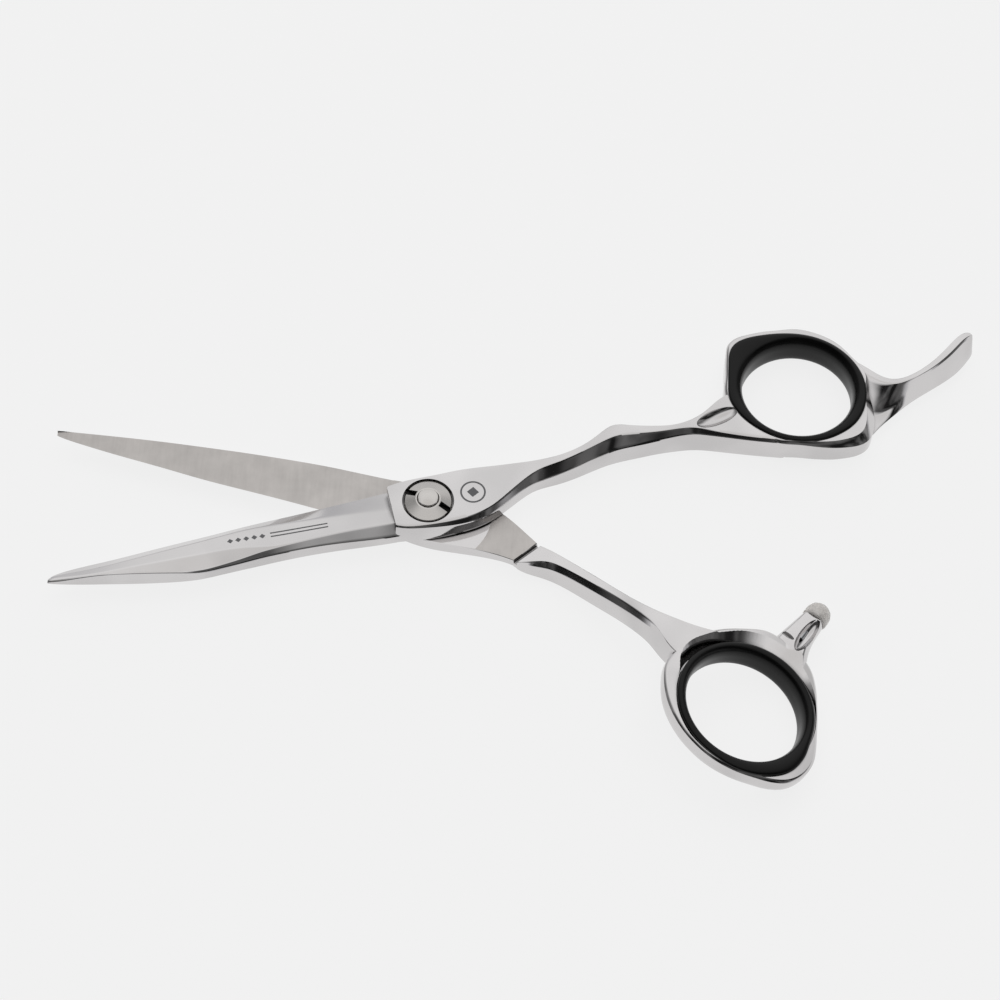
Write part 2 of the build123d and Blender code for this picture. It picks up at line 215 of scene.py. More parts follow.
def to_object(shell, name, level=0):
    """Scales a shell from millimetres, makes it an object, and rounds it by subdividing level times."""
    bmesh.ops.scale(shell, vec=(MM, MM, MM), verts=shell.verts)
    mesh = bpy.data.meshes.new(name)
    shell.to_mesh(mesh)
    shell.free()
    piece = bpy.data.objects.new(name, mesh)
    bpy.context.scene.collection.objects.link(piece)
    if level:
        rounding = piece.modifiers.new("rounding", "SUBSURF")
        rounding.levels = rounding.render_levels = level
        settle(piece)
    return piece


def settle(piece):
    """Turns a piece's modifiers into mesh."""
    graph = bpy.context.evaluated_depsgraph_get()
    finished = bpy.data.meshes.new_from_object(piece.evaluated_get(graph))
    piece.modifiers.clear()
    old = piece.data
    piece.data = finished
    bpy.data.meshes.remove(old)


def weld(base, tools, operation):
    """Joins the tool shells to base, or cuts them out of it, and removes them."""
    for tool in tools:
        joint = base.modifiers.new(operation.lower(), "BOOLEAN")
        joint.operation = operation
        joint.solver = "EXACT"
        joint.object = tool
        settle(base)
        tidy = bmesh.new()
        tidy.from_mesh(base.data)
        bmesh.ops.remove_doubles(tidy, verts=tidy.verts, dist=2e-7)
        bmesh.ops.dissolve_degenerate(tidy, edges=tidy.edges, dist=2e-7)
        tidy.to_mesh(base.data)
        tidy.free()
        bpy.data.objects.remove(tool)


def polish(piece, angle=24.0):
    """Smooth shading with sharp arrises."""
    piece.data.shade_smooth()
    piece.data.set_sharp_from_angle(angle=radians(angle))


def turned(profile, centre=(0, 0, 0), steps=96, axis=(0, 0, 1)):
    """Spins an open profile of (radius, height) points round the axis through centre."""
    ring = bmesh.new()
    points = [ring.verts.new((r, 0, z)) for r, z in profile]
    edges = [ring.edges.new(pair) for pair in zip(points, points[1:])]
    bmesh.ops.spin(ring, geom=points + edges, cent=(0, 0, 0), axis=(0, 0, 1), angle=2 * pi,
                   steps=steps, use_merge=True)
    bmesh.ops.remove_doubles(ring, verts=ring.verts, dist=1e-5)
    turn = UP.rotation_difference(Vector(axis)).to_matrix().to_4x4()
    bmesh.ops.transform(ring, matrix=Matrix.Translation(centre) @ turn, verts=ring.verts)
    bmesh.ops.recalc_face_normals(ring, faces=ring.faces)
    return ring


# blade: x, cutting edge, bevel line, ridge, top and foot of the fuller, spine
finger_blade = []
for x, edge, bevel, ridge, fuller, foot, spine in (
    (-67.5, -18.3, (-18.4, 4.15), (-18.7, 4.25), (-18.9, 4.22), (-19.0, 4.15), -19.1),
    (-67.0, -17.5, (-17.8, 4.25), (-18.35, 4.5), (-18.7, 4.46), (-18.95, 4.3), -19.15),
    (-65.2, -16.6, (-17.4, 4.5), (-18.2, 4.8), (-18.6, 4.75), (-18.9, 4.56), -19.2),
    (-61.5, -15.2, (-16.83, 5.05), (-18.02, 5.5), (-18.22, 5.48), (-18.42, 5.39), -19.1),
    (-57.0, -13.8, (-15.72, 5.5), (-17.39, 6.1), (-17.69, 6.05), (-17.87, 5.93), -18.8),
    (-50.5, -11.4, (-13.42, 5.7), (-15.65, 6.4), (-17.16, 6.21), (-17.36, 6.16), -18.4),
    (-43.8, -9.0, (-10.96, 5.7), (-13.96, 6.55), (-16.57, 5.97), (-16.77, 5.92), -17.7),
    (-40.0, -7.7, (-9.6, 5.7), (-12.96, 6.5), (-15.95, 5.5), (-16.23, 5.26), -17.0),
    (-36.5, -6.4, (-8.23, 5.65), (-12.0, 6.5), (-14.6, 5.65), (-14.98, 5.32), -15.8),
    (-33.2, -5.2, (-6.96, 5.6), (-11.23, 6.5), (-13.4, 5.9), (-13.99, 5.38), -14.7),
    (-29.7, -4.0, (-6.0, 5.55), (-10.93, 6.5), (-11.8, 6.25), (-12.65, 5.58), -13.6),
    (-26.5, -3.0, (-5.3, 5.5), (-10.6, 6.5), (-10.75, 6.48), (-11.86, 5.72), -12.5),
    (-20.6, -1.0, (-4.0, 5.6), (-8.6, 6.65), (-8.75, 6.63), (-10.1, 5.78), -10.75),
    (-14.0, 1.3, (-2.6, 5.7), (-6.6, 6.78), (-6.75, 6.76), (-8.6, 5.55), -9.2),
    (-8.0, 3.4, (-1.5, 5.8), (-5.1, 6.88), (-5.25, 6.86), (-7.54, 5.4), -8.05),
    (-2.0, 5.4, (-0.2, 5.9), (-3.8, 6.95), (-3.95, 6.93), (-5.9, 5.4), -6.4),
):
    middle = ((bevel[0] + ridge[0]) / 2, (bevel[1] + ridge[1]) / 2)
    hollow = ((edge + spine) / 2, FINGER_FLOOR + BLADE_HOLLOW)
    finger_blade.append([
        (x, y, z)
        for y, z in ((edge, FINGER_FLOOR), bevel, middle, ridge, fuller, foot, (spine, FINGER_FLOOR), hollow)
    ])
blade = to_object(forge(finger_blade, {0: 1, 1: 0.95, 3: 0.95, 4: 0.95, 5: 0.9, 6: 0.95}, ends=0.6),
                  "finger_blade", 3)


def shank_outline(x, far, near_top, top, band, near, floor, far_x=None):
    """Cross-section with a flat top, a sloping band, a near wall and a flat floor."""
    far_x = x if far_x is None else far_x
    mid_x = (x + far_x) / 2
    return [
        (far_x, far, floor), (far_x, far, (top + floor) / 2), (far_x, far, top),
        (mid_x, (far + near_top) / 2, top), (x, near_top, top), (x, band[0], band[1]),
        (x, near, floor), (mid_x, (far + near) / 2, floor),
    ]


finger_shank = [
    shank_outline(-5.6, 2.7, -5.5, PLATEAU, (-5.8, 7.1), -7.3, FINGER_FLOOR, far_x=-7.8),
    shank_outline(-3.5, 4.3, -5.9, PLATEAU, (-6.2, 7.1), -6.95, FINGER_FLOOR, far_x=-4.5),
    shank_outline(1.0, 5.7, -5.0, PLATEAU, (-5.5, 6.9), -6.35, FINGER_FLOOR),
    shank_outline(5.0, 7.1, -3.9, PLATEAU, (-4.7, 6.6), -5.1, FINGER_FLOOR),
    shank_outline(9.0, 7.9, -2.4, PLATEAU, (-3.4, 6.4), -3.6, FINGER_FLOOR),
    shank_outline(12.0, 8.4, -0.4, PLATEAU, (-1.6, 6.2), -1.7, FINGER_FLOOR),
    shank_outline(15.0, 9.0, 3.1, PLATEAU, (1.6, 6.0), 1.2, FINGER_FLOOR),
    shank_outline(18.2, 9.6, 6.6, PLATEAU, (4.9, 5.8), 4.5, FINGER_FLOOR),
    shank_outline(20.5, 10.2, 8.4, PLATEAU, (6.5, 5.6), 6.0, 3.7),
    shank_outline(24.0, 11.4, 10.0, 7.3, (8.1, 5.5), 7.6, 2.9),
    shank_outline(27.6, 13.5, 12.2, 7.2, (10.2, 5.3), 9.8, 2.3),
    shank_outline(30.0, 15.6, 13.9, 7.1, (11.9, 5.1), 11.4, 2.0),
    shank_outline(32.4, 18.2, 15.5, 7.05, (13.3, 5.05), 12.8, 1.8),
    shank_outline(33.9, 19.1, 16.4, 7.0, (14.2, 5.1), 13.5, 1.7),
    shank_outline(36.0, 19.1, 17.1, 6.9, (14.9, 5.2), 14.4, 1.5),
    shank_outline(38.5, 19.1, 17.4, 6.8, (15.6, 5.2), 15.2, 1.4),
    shank_outline(42.0, 19.3, 18.0, 6.7, (16.7, 5.3), 16.4, 1.3),
    shank_outline(45.0, 19.7, 18.8, 6.6, (17.6, 5.5), 17.1, 1.25),
    shank_outline(48.3, 21.1, 19.5, 6.57, (18.5, 5.6), 17.75, 1.25),
    shank_outline(51.0, 23.3, 19.1, 6.57, (18.2, 5.7), 17.75, 1.25),
    shank_outline(53.5, 26.6, 18.7, 6.57, (17.9, 5.8), 17.5, 1.25),
    shank_outline(57.0, 28.5, 18.2, 6.57, (17.5, 5.9), 17.2, 1.25),
    shank_outline(61.0, 29.0, 17.8, 6.57, (17.1, 5.9), 16.9, 1.25),
    shank_outline(66.0, 29.0, 17.5, 6.57, (16.9, 5.9), 16.7, 1.25),
]
shank = to_object(forge(finger_shank, {0: 0.7, 2: 0.9, 4: 0.95, 5: 0.9, 6: 0.7}, ends=0.95),
                  "finger_shank", 3)


def eased(angle, stops):
    """Value at angle (degrees) on a smooth closed curve through stops of (angle, value), the first at 0."""
    angle %= 360.0
    before = (stops[-1][0] - 360.0, stops[-1][1])
    after = [(a + 360.0, value) for a, value in stops[:2]]
    loop = [before, *stops, *after]
    index = next(i for i in range(1, len(loop) - 2) if angle <= loop[i + 1][0])
    (a0, v0), (a1, v1), (a2, v2), (a3, v3) = loop[index - 1:index + 3]
    span = a2 - a1
    t = (angle - a1) / span
    slope_1 = (v2 - v0) / (a2 - a0)
    slope_2 = (v3 - v1) / (a3 - a1)
    return ((2 * t**3 - 3 * t**2 + 1) * v1 + (t**3 - 2 * t**2 + t) * span * slope_1
            + (3 * t**2 - 2 * t**3) * v2 + (t**3 - t**2) * span * slope_2)


def ring_shell(section, sharp, steps=72):
    """Spins a cross-section round Z and reshapes it as it turns.

    section(angle) gives the closed list of (radius, height) points at that angle in degrees, and sharp
    the crease of the line that each point draws.
    """
    ring = bmesh.new()
    line = ring.verts.layers.int.new("line")
    corners = []
    for index, (r, z) in enumerate(section(0.0)):
        corner = ring.verts.new((r, 0, z))
        corner[line] = index
        corners.append(corner)
    loop = [ring.edges.new(pair) for pair in zip(corners, corners[1:] + corners[:1])]
    bmesh.ops.spin(ring, geom=corners + loop, cent=(0, 0, 0), axis=(0, 0, 1), angle=2 * pi,
                   steps=steps, use_merge=True)
    bmesh.ops.remove_doubles(ring, verts=ring.verts, dist=1e-4)
    for corner in ring.verts:
        angle = atan2(corner.co.y, corner.co.x)
        r, z = section(degrees(angle))[corner[line]]
        corner.co = (r * cos(angle), r * sin(angle), z)
    crease = ring.edges.layers.float.new("crease_edge")
    for edge in ring.edges:
        a, b = edge.verts
        if a[line] == b[line]:
            edge[crease] = sharp.get(a[line], 0.0)
    bmesh.ops.recalc_face_normals(ring, faces=ring.faces)
    return ring


FINGER_RING = (68.3, 29.5)
finger_ring_reach = [
    (0, 13.5), (18, 14.0), (36, 13.2), (57, 13.5), (74, 13.7), (90, 14.0), (106, 14.0), (126, 15.2),
    (136, 16.2), (145, 16.3), (153, 15.2), (170, 13.9), (184, 14.0), (196, 14.0), (210, 13.6),
    (228, 13.2), (240, 13.2), (254, 13.1), (270, 12.7), (286, 13.4), (304, 15.1), (316, 16.5), (324, 16.8),
    (335, 15.9), (348, 14.6),
]
finger_ring_arris = [
    (0, 1.0), (15, 0.5), (90, 0.4), (200, 0.5), (270, 0.55), (300, 1.0), (318, 1.5), (340, 1.7),
]


def finger_ring_section(angle):
    """Radius and height at an angle round the finger ring."""
    reach = eased(angle, finger_ring_reach)
    arris = eased(angle, finger_ring_arris)
    return [
        (9.5, RING_FLOOR), (9.5, RING_TOP), (reach - arris, RING_TOP), (reach, RING_TOP - arris),
        (reach, RING_FLOOR + 0.5), (reach - 0.5, RING_FLOOR),
    ]


ring = ring_shell(finger_ring_section, {0: 1, 1: 1, 2: 0.9, 3: 0.8, 4: 0.6, 5: 0.6})
bmesh.ops.translate(ring, vec=(*FINGER_RING, 0), verts=ring.verts)
ring = to_object(ring, "finger_ring", 2)

# finger rest: pairs of far and near points, with how far across the ridge and its foot lie
rest_sections = []
for far, near, ridge, foot, foot_z in (
    ((79.0, 36.6), (78.6, 18.4), 0.10, 0.55, 2.8),
    ((81.6, 34.8), (81.4, 20.2), 0.12, 0.62, 2.7),
    ((84.0, 33.0), (83.9, 24.0), 0.16, 0.70, 2.6),
    ((86.2, 32.3), (86.8, 26.9), 0.22, 0.72, 3.0),
    ((88.8, 32.9), (90.3, 30.4), 0.28, 0.56, 4.9),
    ((91.9, 35.0), (93.6, 32.9), 0.34, 0.46, 6.0),
    ((94.9, 37.8), (96.9, 35.3), 0.34, 0.45, 6.1),
    ((97.4, 41.0), (99.7, 37.8), 0.34, 0.45, 6.1),
    ((99.2, 43.3), (101.5, 40.4), 0.34, 0.45, 6.1),
    ((100.7, 44.3), (102.6, 42.1), 0.36, 0.5, 5.9),
    ((101.8, 44.1), (102.6, 43.1), 0.4, 0.55, 5.6),
):
    far_point, near_point = Vector((*far, 0)), Vector((*near, 0))
    across = near_point - far_point
    rest_sections.append([
        far_point + UP * 1.6, far_point + UP * 4.0, far_point + UP * RING_TOP,
        far_point + across * ridge + UP * (RING_TOP - 0.05), far_point + across * foot + UP * foot_z,
        near_point + UP * 2.2, near_point - across * 0.15 + UP * RING_FLOOR,
        far_point + across * 0.5 + UP * RING_FLOOR,
    ])
rest = to_object(forge(rest_sections, {2: 0.7, 3: 0.9, 4: 0.85, 5: 0.5, 6: 0.5, 0: 0.5}, ends=0.3),
                 "finger_rest", 3)

# seat of the insert: the round hole with one blunt corner, cut right through
SEAT_RADIUS = 11.7
SEAT_CORNER = (58.3, 38.6)
SEAT_CORNER_RADIUS = 0.9


def hull_outline(centre, radius, corner, corner_radius, steps=96):
    """Points round a circle and a smaller corner circle, wrapped by one taut outline."""
    away = Vector(corner) - Vector(centre)
    spread = acos((radius - corner_radius) / away.length)
    heading = atan2(away.y, away.x)
    points = []
    for index in range(steps):
        angle = 2 * pi * index / steps
        near_corner = abs((angle - heading + pi) % (2 * pi) - pi) < spread
        origin, reach = (corner, corner_radius) if near_corner else (centre, radius)
        points.append((origin[0] + reach * cos(angle), origin[1] + reach * sin(angle)))
    return points


def prism(points, low, high):
    """Straight-sided block over an outline."""
    block = bmesh.new()
    base = block.faces.new([block.verts.new((x, y, low)) for x, y in points])
    grown = bmesh.ops.extrude_face_region(block, geom=[base])["geom"]
    bmesh.ops.translate(block, vec=(0, 0, high - low),
                        verts=[g for g in grown if isinstance(g, bmesh.types.BMVert)])
    bmesh.ops.recalc_face_normals(block, faces=block.faces)
    return block


weld(shank, [blade, ring, rest], "UNION")
seat_outline = hull_outline(FINGER_RING, SEAT_RADIUS, SEAT_CORNER, SEAT_CORNER_RADIUS)
seat = to_object(prism(seat_outline, 0.0, 9.0), "seat_cut")
# pocket of the bearing from below, bore of the bush, and recess of the nut from above
recess = to_object(turned([
    (0, 3.0), (4.7, 3.0), (4.7, 4.6), (2.7, 4.6), (2.7, 5.7), (4.75, 5.7), (4.75, 9.0), (0, 9.0),
]), "recess_cut")


def scoop(centre, reach, heading, name):
    """Ellipsoid cutter with half lengths reach, turned by heading degrees."""
    egg = bmesh.new()
    bmesh.ops.create_uvsphere(egg, u_segments=64, v_segments=32, radius=1.0)
    bmesh.ops.scale(egg, vec=reach, verts=egg.verts)
    bmesh.ops.rotate(egg, matrix=Matrix.Rotation(radians(heading), 3, "Z"), verts=egg.verts)
    bmesh.ops.translate(egg, vec=centre, verts=egg.verts)
    return to_object(egg, name)


# thumb-shaped hollow where the shank runs into the ring
junction = scoop((53.0, 21.9, 7.4), (4.7, 1.9, 1.9), 28, "junction_scoop")
weld(shank, [seat, recess, junction], "DIFFERENCE")
finger_half = shank
finger_half.name = "finger_half_polished"
polish(finger_half)

# stainless cutlery steel, polished to a mirror on a cloth wheel, so that it shows the room and the table
THUMB_CEILING = 3.87
RIDE_RADIUS = 11.8
steel = bpy.data.materials.new("mirror_polished_steel")
steel.use_nodes = True
tree = steel.node_tree
shader = tree.nodes["Principled BSDF"]
place = add_node(tree, "ShaderNodeTexCoord").outputs["Object"]
axes = add_node(tree, "ShaderNodeSeparateXYZ", {"Vector": place})
# hand polishing leaves the roughness faintly uneven and the surface very slightly wavy
wave = add_node(tree, "ShaderNodeTexNoise", {"Vector": place, "Scale": 160.0, "Detail": 3.0})
haze = add_node(tree, "ShaderNodeMapRange", {"Value": wave.outputs["Fac"], "To Min": 0.05, "To Max": 0.15})
ripple = add_node(tree, "ShaderNodeTexNoise", {"Vector": place, "Scale": 95.0, "Detail": 1.5})
wavy = add_node(tree, "ShaderNodeBump", {
    "Height": ripple.outputs["Fac"], "Strength": 1.0, "Distance": 0.09 * MM,
})
tree.links.new(wavy.outputs["Normal"], shader.inputs["Normal"])
# the inner face of the thumb half is only ground and looks grey, except for the ride round the pivot
normal = add_node(tree, "ShaderNodeNewGeometry").outputs["Normal"]
facing = add_node(tree, "ShaderNodeSeparateXYZ", {"Vector": normal})
upward = add_node(tree, "ShaderNodeMath", {0: facing.outputs["Z"], 1: 0.97}, operation="GREATER_THAN")
at_ceiling = add_node(tree, "ShaderNodeMath", {0: axes.outputs["Z"], 1: THUMB_CEILING * MM, 2: 0.12 * MM},
                      operation="COMPARE")
flat_place = add_node(tree, "ShaderNodeCombineXYZ", {"X": axes.outputs["X"], "Y": axes.outputs["Y"]})
from_pivot = add_node(tree, "ShaderNodeVectorMath", {0: flat_place.outputs["Vector"]}, operation="LENGTH")
past_ride = add_node(tree, "ShaderNodeMath", {0: from_pivot.outputs["Value"], 1: RIDE_RADIUS * MM},
                     operation="GREATER_THAN")
on_blade = add_node(tree, "ShaderNodeMath", {0: axes.outputs["X"], 1: -4.0 * MM}, operation="LESS_THAN")
off_ride = add_node(tree, "ShaderNodeMath", {0: past_ride.outputs["Value"], 1: on_blade.outputs["Value"]},
                    operation="MAXIMUM")
inner = add_node(tree, "ShaderNodeMath", {0: upward.outputs["Value"], 1: at_ceiling.outputs["Value"]},
                 operation="MULTIPLY")
ground = add_node(tree, "ShaderNodeMath", {0: inner.outputs["Value"], 1: off_ride.outputs["Value"]},
                  operation="MULTIPLY")
# its grinding strokes run across the blade, here about 0.7 mm apart and 7 mm long
strokes = add_node(tree, "ShaderNodeMapping", {"Vector": place, "Scale": (1500.0, 150.0, 150.0),
                                               "Rotation": (0, 0, radians(12))})
grain = add_node(tree, "ShaderNodeTexNoise", {
    "Vector": strokes.outputs["Vector"], "Scale": 1.0, "Detail": 4.0,
})
clouds = add_node(tree, "ShaderNodeTexNoise", {
    "Vector": place, "Scale": 130.0, "Detail": 6.0, "Roughness": 0.6,
})
mottle = add_node(tree, "ShaderNodeMix", {
    "Factor": 0.75, "A": grain.outputs["Fac"], "B": clouds.outputs["Fac"],
}, data_type="FLOAT")
tint = add_node(tree, "ShaderNodeMapRange", {
    "Value": mottle.outputs["Result"], "From Min": 0.35, "From Max": 0.65, "To Min": 0.86, "To Max": 1.06,
})
ground_colour = add_node(tree, "ShaderNodeMix", {
    "Factor": 1.0, "A": linear("#BFBBB8"), "B": tint.outputs["Result"],
}, data_type="RGBA", blend_type="MULTIPLY")
# painted shade: an ambient occlusion mask darkens the base colour in corners and narrow joints, where shade
# falls
painted_crevice_shade = add_node(tree, "ShaderNodeAmbientOcclusion", {"Distance": 1.2 * MM}, samples=8)
seam_shade = add_node(tree, "ShaderNodeMapRange", {
    "Value": painted_crevice_shade.outputs["AO"], "From Min": 0.35, "From Max": 0.85, "To Min": 0.25, "To Max": 1.0,
})
# and handling leaves a thin grey bloom in patches
bloom = add_node(tree, "ShaderNodeMapRange", {
    "Value": ripple.outputs["Fac"], "From Min": 0.35, "From Max": 0.60, "To Min": 0.90, "To Max": 1.0,
})
# painted shade from the occlusion mask, multiplied by the handling bloom
polished = add_node(tree, "ShaderNodeMath", {0: seam_shade.outputs["Result"], 1: bloom.outputs["Result"]},
                    operation="MULTIPLY")
bright_colour = add_node(tree, "ShaderNodeMix", {
    "Factor": 1.0, "A": linear("#D4D2D2"), "B": polished.outputs["Value"],
}, data_type="RGBA", blend_type="MULTIPLY")
finish_colour = add_node(tree, "ShaderNodeMix", {
    "Factor": ground.outputs["Value"],
    "A": bright_colour.outputs["Result"], "B": ground_colour.outputs["Result"],
}, data_type="RGBA")
roughness = add_node(tree, "ShaderNodeMix", {
    "Factor": ground.outputs["Value"], "A": haze.outputs["Result"], "B": 0.38,
}, data_type="FLOAT")
tree.links.new(finish_colour.outputs["Result"], shader.inputs["Base Color"])
tree.links.new(roughness.outputs["Result"], shader.inputs["Roughness"])
shader.inputs["Metallic"].default_value = 1.0
finger_half.data.materials.append(steel)
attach(finger_half, "finger_side")
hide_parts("finger_half")

# ---------------------------------------------------------------------------------------------
# Thumb half: the second forging. Its blade lies underneath with the ground inner face on top, the
# ride around the pivot is polished flat, and the shank climbs to a ring that leans to the thumb.
# ---------------------------------------------------------------------------------------------
LEAN = radians(15)
LEAN_HEADING = radians(10)
RING_AXIS = Vector((sin(LEAN) * cos(LEAN_HEADING), sin(LEAN) * sin(LEAN_HEADING), cos(LEAN)))
RING_U = Vector((0, 1, 0)).cross(RING_AXIS).normalized()
RING_V = RING_AXIS.cross(RING_U)
RING_TURN = Matrix((RING_U, RING_V, RING_AXIS)).transposed().to_4x4()
THUMB_RING = Matrix.Translation((57.05, -40.1, 6.0)) @ RING_TURN
THUMB_BLADE_HOLLOW = 0.06

# blade: x, cutting edge, bevel and belly on the hidden outer face, spine
thumb_blade = []
for x, edge, bevel, belly, spine in (
    (-69.7, 13.1, (13.2, 3.5), (13.5, 3.4), 13.9),
    (-68.6, 12.5, (12.8, 3.3), (13.4, 3.2), 14.05),
    (-65.3, 11.4, (12.0, 2.9), (12.9, 2.7), 13.9),
    (-57.6, 9.1, (10.2, 2.6), (12.0, 2.2), 13.4),
    (-49.9, 7.1, (8.5, 2.4), (10.9, 1.8), 12.8),
    (-42.3, 4.8, (6.5, 2.3), (9.6, 1.6), 12.0),
    (-34.8, 3.0, (4.8, 2.2), (8.2, 1.4), 11.2),
    (-27.3, 1.2, (3.0, 2.1), (6.8, 1.2), 10.2),
    (-19.0, -1.0, (1.2, 1.8), (4.6, 0.9), 9.0),
    (-11.0, -3.1, (-0.6, 1.4), (2.8, 0.6), 7.3),
    (-4.0, -5.0, (-2.0, 1.2), (1.4, 0.45), 6.0),
):
    thumb_blade.append([
        (x, y, z)
        for y, z in (
            (edge, THUMB_CEILING), ((edge + spine) / 2, THUMB_CEILING - THUMB_BLADE_HOLLOW),
            (spine, THUMB_CEILING), (spine, belly[1] + 0.9),
            (belly[0] + 0.7 * (spine - belly[0]), belly[1] + 0.3), belly, bevel,
        )
    ])
lower_blade = to_object(forge(thumb_blade, {0: 1, 2: 0.95, 3: 0.4, 6: 0.8}, ends=1.0), "thumb_blade", 3)


def bar(near, far, top, band, wall, floor):
    """Cross-section between a near and a far point: flat top, band under its near edge, wall and floor.

    band and wall are (outward offset, height) from the near point; the far side stands upright.
    """
    near_top = Vector((*near, top))
    far_top = Vector((*far, top))
    middle = (near_top + far_top) / 2
    out = Vector((0, -1, 0))
    return [
        far_top + UP * (floor + 0.5 - top), far_top + UP * ((floor - top) / 2), far_top, middle, near_top,
        near_top + out * band[0] + UP * (band[1] - top), near_top + out * wall[0] + UP * (wall[1] - top),
        middle + UP * (floor - top),
    ]


thumb_shank = [
    bar((-7.0, -4.2), (-7.0, 6.6), THUMB_CEILING, (0.1, 3.2), (0.2, 2.0), 0.45),
    bar((-3.5, -5.4), (-3.5, 6.1), THUMB_CEILING, (0.1, 3.2), (0.2, 1.5), 0.42),
    bar((0.0, -6.5), (0.0, 5.7), THUMB_CEILING, (0.05, 3.2), (0.1, 1.2), 0.42),
    bar((4.0, -7.1), (4.0, 4.9), THUMB_CEILING, (0.05, 3.2), (0.1, 1.2), 0.42),
    bar((9.0, -7.8), (9.6, 2.9), THUMB_CEILING, (0.05, 3.2), (0.1, 1.5), 0.42),
    bar((12.4, -8.6), (14.1, 0.1), THUMB_CEILING, (0.05, 3.2), (0.1, 1.9), 0.42),
    bar((14.4, -9.2), (17.3, -3.0), THUMB_CEILING, (0.05, 3.2), (0.1, 2.1), 0.45),
    bar((16.0, -9.8), (20.2, -5.9), THUMB_CEILING, (0.05, 3.1), (0.1, 2.1), 0.5),
    bar((16.12, -9.9), (20.32, -6.0), 2.9, (0.05, 2.6), (0.1, 2.0), 0.5),
    bar((16.6, -10.2), (20.75, -6.4), 2.9, (0.05, 2.6), (0.15, 2.0), 0.5),
    bar((16.75, -10.3), (20.9, -6.55), 4.05, (0.1, 3.3), (0.3, 2.0), 0.5),
    bar((18.2, -10.3), (21.5, -6.9), 4.2, (0.35, 3.4), (0.9, 1.6), 0.5),
    bar((20.6, -10.0), (22.4, -7.5), 4.4, (0.8, 3.5), (1.7, 1.3), 0.55),
    bar((22.8, -10.2), (23.6, -8.3), 4.7, (1.1, 3.6), (2.0, 1.0), 0.6),
    bar((26.0, -12.2), (26.4, -10.5), 5.4, (1.2, 4.2), (1.7, 1.1), 0.8),
    bar((31.0, -15.85), (31.0, -14.1), 6.5, (1.3, 5.45), (1.6, 1.5), 1.3),
    bar((35.0, -19.0), (34.8, -17.3), 7.6, (1.35, 6.65), (1.5, 2.5), 2.2),
    bar((38.0, -21.8), (37.8, -19.8), 8.6, (1.35, 7.65), (1.6, 3.6), 3.2),
    bar((40.4, -24.2), (40.6, -21.8), 9.4, (1.35, 8.5), (1.9, 4.6), 4.2),
    bar((42.0, -26.4), (43.2, -23.4), 10.1, (1.0, 9.4), (2.6, 5.4), 5.0),
    bar((43.0, -28.6), (45.6, -24.6), 10.5, (0.5, 9.8), (2.2, 6.1), 5.6),
    bar((45.0, -31.6), (49.0, -25.9), 10.5, (0.5, 9.8), (1.4, 6.4), 6.0),
    bar((49.5, -33.4), (53.0, -26.4), 9.8, (0.5, 9.0), (1.0, 5.9), 5.6),
]
thumb_half = to_object(forge(thumb_shank, {0: 0.5, 2: 0.9, 4: 0.95, 5: 0.85, 6: 0.7}, ends=0.95,
                             rings={7: 0.9, 8: 0.7, 9: 0.7, 10: 0.9}), "thumb_shank", 3)

thumb_ring_reach = [
    (0, 13.5), (12, 13.8), (24, 14.6), (40, 15.9), (60, 16.3), (75, 16.6), (90, 15.7), (108, 15.4),
    (125, 15.6), (140, 15.8), (156, 15.9), (168, 15.3), (180, 14.8), (205, 13.8), (226, 13.35),
    (250, 13.4), (264, 13.7), (276, 14.2), (288, 15.2), (300, 16.0), (312, 16.0), (324, 15.4),
    (336, 14.3), (348, 13.6),
]
thumb_rim_height = [
    (0, 2.3), (30, 2.7), (60, 3.0), (90, 3.1), (115, 2.95), (128, 2.5), (140, 1.9), (156, 1.5), (170, 1.75),
    (182, 1.95), (215, 2.0), (250, 2.0), (290, 2.0), (320, 2.0),
]
# dished pocket round the insert: angle, reach at the cutter's top, and height of its foot
thumb_dish = [
    (0, 13.9, 1.95), (30, 15.6, 1.95), (60, 17.3, 1.95), (90, 16.8, 1.95), (106, 15.8, 1.6),
    (120, 16.0, 0.8), (133, 17.3, 0.3), (146, 18.0, 0.7), (158, 15.6, 1.4), (172, 13.4, 1.9),
    (215, 13.1, 1.95), (320, 13.1, 1.95),
]
DISH_RADIUS = 12.95
DISH_TOP = 4.3


def thumb_ring_section(angle):
    """Radius and height at an angle round the thumb ring, in its own plane."""
    reach = eased(angle, thumb_ring_reach)
    rim = eased(angle, thumb_rim_height)
    return [
        (11.0, -2.0), (11.0, rim), (reach - 0.55, rim), (reach - 0.1, rim - 0.45), (reach, 0.2),
        (reach - 0.2, -1.3), (reach - 0.9, -2.0),
    ]


lower_ring = ring_shell(thumb_ring_section, {0: 1, 1: 1, 2: 0.85, 3: 0.7, 6: 0.4})
bmesh.ops.transform(lower_ring, matrix=THUMB_RING, verts=lower_ring.verts)
lower_ring = to_object(lower_ring, "thumb_ring", 2)

